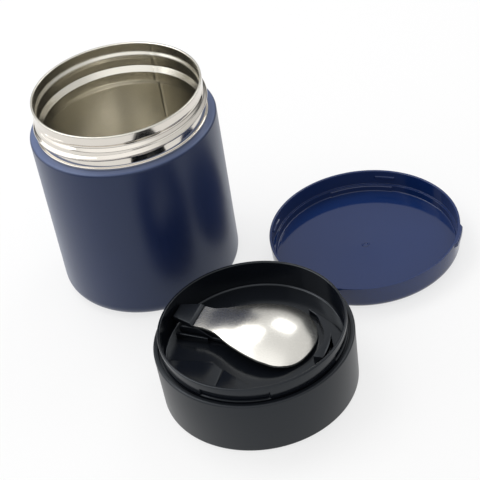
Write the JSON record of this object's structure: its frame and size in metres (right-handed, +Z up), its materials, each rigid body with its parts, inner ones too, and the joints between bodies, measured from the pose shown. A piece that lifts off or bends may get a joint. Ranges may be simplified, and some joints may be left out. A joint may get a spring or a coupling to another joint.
{
  "type": "insulated food jar",
  "caption": "Wide-mouth vacuum food jar with a screw lid, a folding spoon in the lid's open compartment, and the compartment's push-on cover, laid out apart.",
  "frame": {"origin": "centre of the jar's base, on the table", "axes": "+Z up along the jar's axis; the lid stands towards -Y and the turned-over cover towards +X"},
  "size_m": [0.217, 0.2074, 0.1145],
  "materials": {
    "coated_steel": "matt navy powder coat",
    "bright_steel": "polished",
    "brushed_vessel": "fine brushed",
    "plain_steel": "satin",
    "foil": "foil",
    "black_plastic": "semi-matt moulded",
    "foam": "foam",
    "silicone": "soft silicone",
    "spoon_steel": "satin brushed",
    "navy_plastic": "semi-gloss moulded"
  },
  "bodies": {
    "jar": {"outer_shell": "coated_steel", "neck_ring": "bright_steel", "inner_vessel": "brushed_vessel", "inner_bottom": "brushed_vessel", "outer_bottom": "plain_steel", "vacuum_plug": "plain_steel", "getter": "plain_steel", "radiation_foil": "foil", "base_cover": "plain_steel"},
    "lid": {"lid_shell": "black_plastic", "spoon_tray": "black_plastic", "insulation_disc": "foam", "stopper_cup": "black_plastic", "lid_gasket": "silicone"},
    "handle": {"spoon_handle": "black_plastic", "hinge_pin": "plain_steel"},
    "bowl": {"hinge_knuckle": "black_plastic", "spoon_bowl": "spoon_steel"},
    "cover": {"snap_cover": "navy_plastic"}
  },
  "joints": [
    {"name": "lid_lift", "type": "slide", "parent": "jar", "child": "lid", "axis": [0, 0, 1], "range_m": [0, 0.12]},
    {"name": "cover_lift", "type": "slide", "parent": "jar", "child": "cover", "axis": [0, 0, 1], "range_m": [0, 0.08]},
    {"name": "spoon_lift", "type": "slide", "parent": "lid", "child": "handle", "axis": [0, 0, 1], "range_m": [0, 0.12]},
    {"name": "bowl_hinge", "type": "hinge", "parent": "handle", "child": "bowl", "pos_m": [0.01763, -0.08754, 0.028], "axis": [-0.4772, -0.8788, 0], "range_deg": [0, 180]}
  ],
  "couplings": [
    {"joint": "bowl_hinge", "follows": "spoon_lift", "rad_per_m": 26.179}
  ]
}
